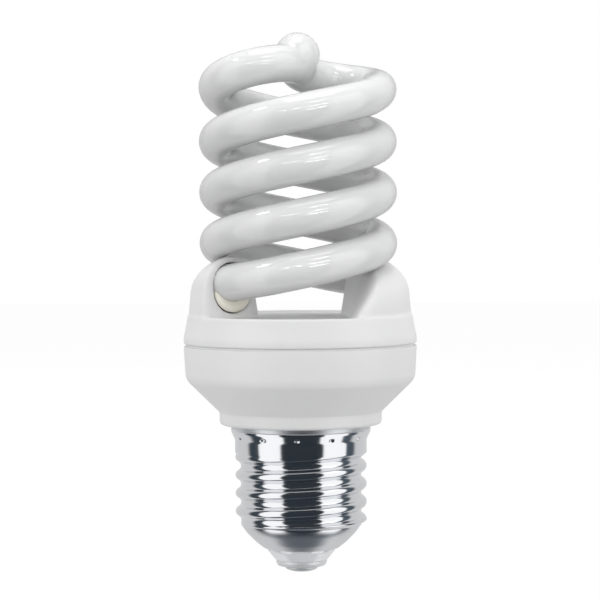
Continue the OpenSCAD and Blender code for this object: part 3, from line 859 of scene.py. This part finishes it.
def wall_ramp(nodes, links, share, marks):
    """Brightness round the room, from marks of (degrees, value)."""
    ramp = nodes.new("ShaderNodeValToRGB")
    elements = ramp.color_ramp.elements
    for k, (degrees, value) in enumerate(marks):
        position = degrees / 360 + 0.5
        element = elements[k] if k < 2 else elements.new(position)
        element.position = position
        cool = DARK_TINT if value < DARK_LIMIT else 0
        element.color = (value * (1 - cool), value, value * (1 + cool), 1)
    links.new(share, ramp.inputs["Fac"])
    return ramp.outputs["Color"]


def blend_colors(nodes, links, factor, first, second):
    """Mix of two colours, each a fixed one or another node's output."""
    mix = nodes.new("ShaderNodeMix")
    mix.data_type = "RGBA"
    for key, value in (("Factor", factor), ("A", first), ("B", second)):
        if isinstance(value, tuple):
            mix.inputs[key].default_value = value
        else:
            links.new(value, mix.inputs[key])
    return mix.outputs["Result"]


def ramp_down(nodes, links, value, start, end):
    """0 at start, 1 at end, and even in between."""
    reach = nodes.new("ShaderNodeMapRange")
    reach.inputs["From Min"].default_value = start
    reach.inputs["From Max"].default_value = end
    links.new(value, reach.inputs["Value"])
    return reach.outputs["Result"]


def walls(nodes, links, place):
    """Colour of the studio's walls in the direction of a place vector."""
    way = nodes.new("ShaderNodeVectorMath")
    way.operation = "NORMALIZE"
    links.new(place, way.inputs[0])
    split = nodes.new("ShaderNodeSeparateXYZ")
    links.new(way.outputs[0], split.inputs["Vector"])
    back = math_node(nodes, links, "MULTIPLY", split.outputs["Y"], -1.0)
    azimuth = math_node(nodes, links, "ARCTAN2", split.outputs["X"], back)
    share = math_node(nodes, links, "MULTIPLY_ADD", azimuth, 1 / TAU, 0.5)
    steep = math_node(nodes, links, "ABSOLUTE", split.outputs["Z"])
    near = wall_ramp(nodes, links, share, WALLS)
    far = wall_ramp(nodes, links, share, FAR_WALLS)
    both = blend_colors(nodes, links, ramp_down(nodes, links, steep, FAR_FROM, FAR_WHOLE), near, far)
    under = ramp_down(nodes, links, split.outputs["Z"], UNDER_FROM, UNDER_WHOLE)
    return blend_colors(nodes, links, under, both, UNDER_COLOR)


def world():
    """White to the camera, even to matt surfaces, and light and dark walls to shiny ones."""
    room = bpy.data.worlds.new("room")
    bpy.context.scene.world = room
    room.use_nodes = True
    nodes, links = room.node_tree.nodes, room.node_tree.links
    nodes.clear()
    place = nodes.new("ShaderNodeTexCoord")
    shiny = nodes.new("ShaderNodeBackground")
    links.new(walls(nodes, links, place.outputs["Generated"]), shiny.inputs["Color"])
    even = nodes.new("ShaderNodeBackground")
    even.inputs["Color"].default_value = (EVEN_LIGHT, EVEN_LIGHT, EVEN_LIGHT, 1)
    white = nodes.new("ShaderNodeBackground")
    white.inputs["Color"].default_value = (1, 1, 1, 1)
    path = nodes.new("ShaderNodeLightPath")
    first = nodes.new("ShaderNodeMixShader")
    links.new(path.outputs["Is Glossy Ray"], first.inputs["Fac"])
    links.new(even.outputs[0], first.inputs[1])
    links.new(shiny.outputs[0], first.inputs[2])
    second = nodes.new("ShaderNodeMixShader")
    links.new(path.outputs["Is Camera Ray"], second.inputs["Fac"])
    links.new(first.outputs[0], second.inputs[1])
    links.new(white.outputs[0], second.inputs[2])
    out = nodes.new("ShaderNodeOutputWorld")
    links.new(second.outputs[0], out.inputs["Surface"])


def floor():
    """White to the camera, the walls' colour to shiny surfaces, and pale to everything else."""
    corners = [(x * FLOOR_SIZE, y * FLOOR_SIZE, FLOOR_Z) for x, y in ((-1, -1), (1, -1), (1, 1), (-1, 1))]
    thing = mesh_object("studio_floor", corners, [(0, 1, 2, 3)], False)
    material, nodes, links, shader = principled("studio_floor", FLOOR_COLOR, 0.9)
    place = nodes.new("ShaderNodeNewGeometry")
    lift = nodes.new("ShaderNodeVectorMath")
    lift.operation = "ADD"
    lift.inputs[1].default_value = (0, 0, -FLOOR_DROP * MM)
    links.new(place.outputs["Position"], lift.inputs[0])
    shiny = nodes.new("ShaderNodeEmission")
    links.new(walls(nodes, links, lift.outputs[0]), shiny.inputs["Color"])
    white = nodes.new("ShaderNodeEmission")
    white.inputs["Strength"].default_value = FLOOR_WHITE
    path = nodes.new("ShaderNodeLightPath")
    first = nodes.new("ShaderNodeMixShader")
    links.new(path.outputs["Is Glossy Ray"], first.inputs["Fac"])
    links.new(shader.outputs[0], first.inputs[1])
    links.new(shiny.outputs[0], first.inputs[2])
    second = nodes.new("ShaderNodeMixShader")
    seen = math_node(nodes, links, "MULTIPLY", path.outputs["Is Camera Ray"], FLOOR_WHITE_SHARE)
    links.new(seen, second.inputs["Fac"])
    links.new(first.outputs[0], second.inputs[1])
    links.new(white.outputs[0], second.inputs[2])
    links.new(second.outputs[0], nodes["Material Output"].inputs["Surface"])
    thing.data.materials.append(material)


def lights(glass):
    """Soft light for all, and thin strips that show as highlights on the glass alone."""
    only_glass = bpy.data.collections.new("only_glass")
    only_glass.objects.link(glass)
    for row in HIDDEN_BOXES:
        area_light(*row).visible_glossy = False
    for row in SOFT_LAMPS:
        area_light(*row)
    area_light(*BEHIND).visible_glossy = False
    for row in STRIPS:
        area_light(*row).light_linking.receiver_collection = only_glass


def camera():
    """The photograph's view, with the slight lean that the bulb has there."""
    data = bpy.data.cameras.new("view")
    data.lens = LENS
    data.sensor_width = 36
    data.clip_start = 0.01
    data.clip_end = 20
    thing = bpy.data.objects.new("view", data)
    bpy.context.collection.objects.link(thing)
    thing.location = Vector((0, -CAM_DISTANCE * MM, CAM_HEIGHT * MM))
    aim = Vector((0, 0, AIM_Z * MM)) - thing.location
    thing.rotation_mode = "QUATERNION"
    roll = Quaternion((0, 0, 1), math.radians(CAM_ROLL))
    thing.rotation_quaternion = aim.to_track_quat("-Z", "Y") @ roll
    bpy.context.scene.camera = thing


camera()
plastic = housing_plastic()
spiral = glass_spiral(phosphor_glass())
upper_cover(plastic)
lower_bowl(plastic)
entry_cement("entry_cement_left", 1, MATERIALS["cement"])
entry_cement("entry_cement_right", -1, MATERIALS["cement"])
cap_sheet(cap_metal())
insulator_cone(MATERIALS["insulator"])
contact_disc(MATERIALS["contact_metal"])
solder_tip(MATERIALS["solder"])
dress_inner_parts()
world()
floor()
lights(spiral)
bpy.context.scene.view_settings.view_transform = "Standard"
